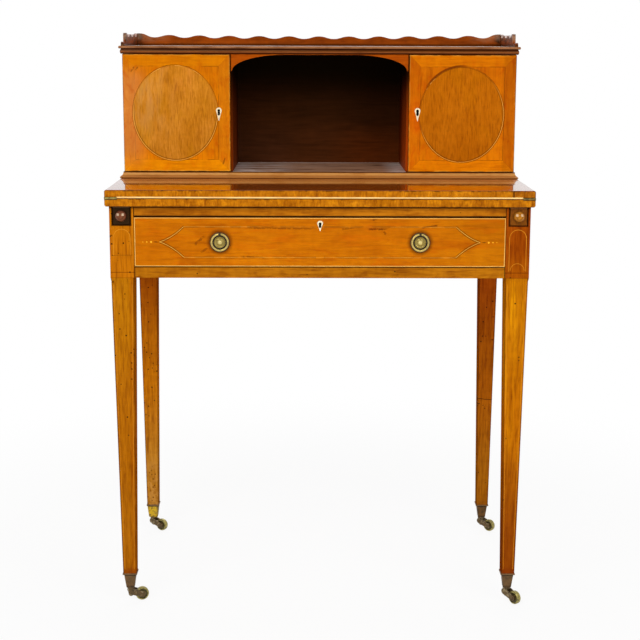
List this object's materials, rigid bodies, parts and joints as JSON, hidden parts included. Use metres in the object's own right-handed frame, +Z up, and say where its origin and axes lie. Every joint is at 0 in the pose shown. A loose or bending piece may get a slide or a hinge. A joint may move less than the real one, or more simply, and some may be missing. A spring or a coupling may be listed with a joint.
{
  "type": "writing desk",
  "caption": "Small writing desk with a fold-over top on pull-out bearers, a long drawer, cupboards beside an arched niche, a wavy gallery and tapered legs on casters.",
  "frame": {"origin": "on the floor, midway between the sides and midway between the knobs in front and the back edge of the table bed", "axes": "+Z up, -Y towards the writer, +X to the writer's right"},
  "size_m": [0.76, 0.4704, 1.046],
  "materials": {
    "satinwood": "polished golden satinwood veneer",
    "mahogany": "polished red-brown mahogany",
    "oak": "plain planed oak",
    "brass": "dull antique brass",
    "steel": "old filed steel",
    "bone": "polished bone"
  },
  "bodies": {
    "carcass": {"leg_front_left": "satinwood", "leg_front_right": "satinwood", "leg_rear_left": "satinwood", "leg_rear_right": "satinwood", "side_rails": "satinwood", "back_rail": "satinwood", "lower_front_rail": "satinwood", "upper_front_rail": "satinwood", "drawer_runners": "oak", "drawer_guides": "oak", "table_bed": "satinwood", "rear_leaf": "satinwood", "flap_hinge_bed_leaves": "brass", "flap_hinge_pins": "steel", "case_base": "mahogany", "base_moulding": "mahogany", "case_sides": "satinwood", "case_dividers": "mahogany", "case_back": "mahogany", "case_top": "mahogany", "cornice_moulding": "mahogany", "niche_arch": "satinwood", "gallery_back": "mahogany", "gallery_sides": "mahogany", "door_pivot_sockets": "brass", "caster_cups": "brass"},
    "flap": {"writing_flap": "satinwood", "flap_hinge_leaves": "brass"},
    "drawer": {"drawer_front": "satinwood", "drawer_sides": "oak", "drawer_back": "oak", "drawer_bottom": "oak", "drawer_lock": "steel", "drawer_escutcheon": "bone", "pull_plates": "brass"},
    "drawer_bolt": {"drawer_lock_bolt": "steel"},
    "ring_left": {"pull_ring_left": "brass"},
    "ring_right": {"pull_ring_right": "brass"},
    "bearer_left": {"loper_left": "mahogany", "loper_knob_left": "mahogany"},
    "bearer_right": {"loper_right": "mahogany", "loper_knob_right": "mahogany"},
    "cupboard_door_left": {"door_left": "satinwood", "door_pivots_left": "brass", "door_lock_left": "steel", "door_escutcheon_left": "bone"},
    "door_bolt_left": {"door_lock_bolt_left": "steel"},
    "cupboard_door_right": {"door_right": "satinwood", "door_pivots_right": "brass", "door_lock_right": "steel", "door_escutcheon_right": "bone"},
    "door_bolt_right": {"door_lock_bolt_right": "steel"},
    "swivel_front_left": {"caster_fork_front_left": "brass"},
    "roller_front_left": {"caster_wheel_front_left": "brass"},
    "swivel_front_right": {"caster_fork_front_right": "brass"},
    "roller_front_right": {"caster_wheel_front_right": "brass"},
    "swivel_rear_left": {"caster_fork_rear_left": "brass"},
    "roller_rear_left": {"caster_wheel_rear_left": "brass"},
    "swivel_rear_right": {"caster_fork_rear_right": "brass"},
    "roller_rear_right": {"caster_wheel_rear_right": "brass"}
  },
  "joints": [
    {"name": "flap_hinge", "type": "hinge", "parent": "carcass", "child": "flap", "pos_m": [0, -0.23115, 0.75925], "axis": [1, 0, 0], "range_deg": [0, 180]},
    {"name": "drawer_slide", "type": "slide", "parent": "carcass", "child": "drawer", "axis": [0, -1, 0], "range_m": [0, 0.3]},
    {"name": "drawer_bolt_throw", "type": "slide", "parent": "drawer", "child": "drawer_bolt", "axis": [0, 0, 1], "range_m": [0, 0.006]},
    {"name": "ring_swing_left", "type": "hinge", "parent": "drawer", "child": "ring_left", "pos_m": [-0.178, -0.22445, 0.69525], "axis": [-1, 0, 0], "range_deg": [0, 110]},
    {"name": "ring_swing_right", "type": "hinge", "parent": "drawer", "child": "ring_right", "pos_m": [0.178, -0.22445, 0.69525], "axis": [-1, 0, 0], "range_deg": [0, 110]},
    {"name": "loper_slide_left", "type": "slide", "parent": "carcass", "child": "bearer_left", "axis": [0, -1, 0], "range_m": [0, 0.19]},
    {"name": "door_hinge_left", "type": "hinge", "parent": "carcass", "child": "cupboard_door_left", "pos_m": [-0.3639, 0.00775, 0.8967], "axis": [0, 0, -1], "range_deg": [0, 95]},
    {"name": "door_bolt_throw_left", "type": "slide", "parent": "cupboard_door_left", "child": "door_bolt_left", "axis": [1, 0, 0], "range_m": [0, 0.006]},
    {"name": "loper_slide_right", "type": "slide", "parent": "carcass", "child": "bearer_right", "axis": [0, -1, 0], "range_m": [0, 0.19]},
    {"name": "door_hinge_right", "type": "hinge", "parent": "carcass", "child": "cupboard_door_right", "pos_m": [0.3639, 0.00775, 0.8967], "axis": [0, 0, 1], "range_deg": [0, 95]},
    {"name": "door_bolt_throw_right", "type": "slide", "parent": "cupboard_door_right", "child": "door_bolt_right", "axis": [-1, 0, 0], "range_m": [0, 0.006]},
    {"name": "caster_swivel_front_left", "type": "hinge", "parent": "carcass", "child": "swivel_front_left", "pos_m": [-0.352, -0.19925, 0.0285], "axis": [0, 0, 1], "continuous": true},
    {"name": "wheel_roll_front_left", "type": "hinge", "parent": "swivel_front_left", "child": "roller_front_left", "pos_m": [-0.33181, -0.19346, 0.0124], "axis": [-0.2756, 0.9613, 0], "continuous": true},
    {"name": "caster_swivel_front_right", "type": "hinge", "parent": "carcass", "child": "swivel_front_right", "pos_m": [0.352, -0.19925, 0.0285], "axis": [0, 0, 1], "continuous": true},
    {"name": "wheel_roll_front_right", "type": "hinge", "parent": "swivel_front_right", "child": "roller_front_right", "pos_m": [0.3655, -0.21534, 0.0124], "axis": [0.766, 0.6428, 0], "continuous": true},
    {"name": "caster_swivel_rear_left", "type": "hinge", "parent": "carcass", "child": "swivel_rear_left", "pos_m": [-0.352, 0.21175, 0.0285], "axis": [0, 0, 1], "continuous": true},
    {"name": "wheel_roll_rear_left", "type": "hinge", "parent": "swivel_rear_left", "child": "roller_rear_left", "pos_m": [-0.33346, 0.20189, 0.0124], "axis": [0.4695, 0.8829, 0], "continuous": true},
    {"name": "caster_swivel_rear_right", "type": "hinge", "parent": "carcass", "child": "swivel_rear_right", "pos_m": [0.352, 0.21175, 0.0285], "axis": [0, 0, 1], "continuous": true},
    {"name": "wheel_roll_rear_right", "type": "hinge", "parent": "swivel_rear_right", "child": "roller_rear_right", "pos_m": [0.36809, 0.19825, 0.0124], "axis": [0.6428, 0.766, 0], "continuous": true}
  ]
}
